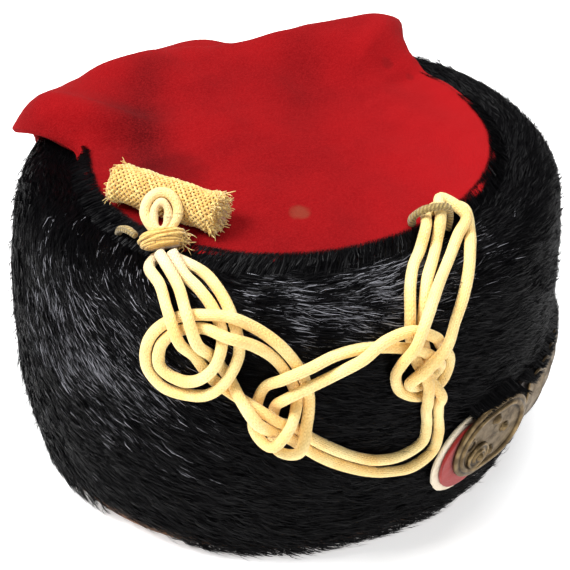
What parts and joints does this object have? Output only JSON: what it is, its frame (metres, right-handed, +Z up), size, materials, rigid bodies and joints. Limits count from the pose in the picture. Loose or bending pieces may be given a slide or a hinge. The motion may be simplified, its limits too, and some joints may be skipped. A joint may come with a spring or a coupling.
{
  "type": "hussar busby",
  "caption": "Oval fur cap, taller than a pillbox, with a red cloth bag folded over its top, a doubled pale cap line in knots, a wool toggle and a brass scale chin strap on cloth cockades.",
  "frame": {"origin": "middle of the base on the ground, taken without the cap line", "axes": "+Z up through the crown, +X to the wearer's front along the oval's long axis, +Y to the wearer's left"},
  "size_m": [0.244, 0.2288, 0.1607],
  "materials": {
    "black_fur": "short glossy black fur",
    "red_cloth": "milled wool cloth with a short nap",
    "cap_line_cord": "fine pale yellow braided cord",
    "yellow_wool": "coarse yellow and cream wool, frayed",
    "brown_cord": "old brown cord",
    "worn_leather": "worn brown leather edge",
    "strap_leather": "dark strap leather",
    "cream_cloth": "cream felted cloth",
    "vermilion_cloth": "orange red felted cloth",
    "old_brass": "tarnished stamped brass"
  },
  "bodies": {
    "root": {"fur_body": "black_fur", "leather_rim_band": "worn_leather", "bag": "red_cloth", "toggle": "yellow_wool", "toggle_ring": "cap_line_cord", "neck_binding": "yellow_wool", "line_cord_1": "cap_line_cord", "line_cord_2": "cap_line_cord", "hanger_loop_right": "brown_cord", "hanger_loop_left": "brown_cord", "cockade_cream_right": "cream_cloth", "cockade_cream_left": "cream_cloth", "cockade_red_right": "vermilion_cloth", "cockade_red_left": "vermilion_cloth", "boss_plate_right": "old_brass", "boss_plate_left": "old_brass", "chin_strap": "strap_leather", "chin_scale_right_01": "old_brass", "chin_scale_right_02": "old_brass", "chin_scale_right_03": "old_brass", "chin_scale_right_04": "old_brass", "chin_scale_right_05": "old_brass", "chin_scale_right_06": "old_brass", "chin_scale_right_07": "old_brass", "chin_scale_right_08": "old_brass", "chin_scale_right_09": "old_brass", "chin_scale_right_10": "old_brass", "chin_scale_left_01": "old_brass", "chin_scale_left_02": "old_brass", "chin_scale_left_03": "old_brass", "chin_scale_left_04": "old_brass", "chin_scale_left_05": "old_brass", "chin_scale_left_06": "old_brass", "chin_scale_left_07": "old_brass", "chin_scale_left_08": "old_brass", "chin_scale_left_09": "old_brass", "chin_scale_left_10": "old_brass"}
  },
  "joints": []
}
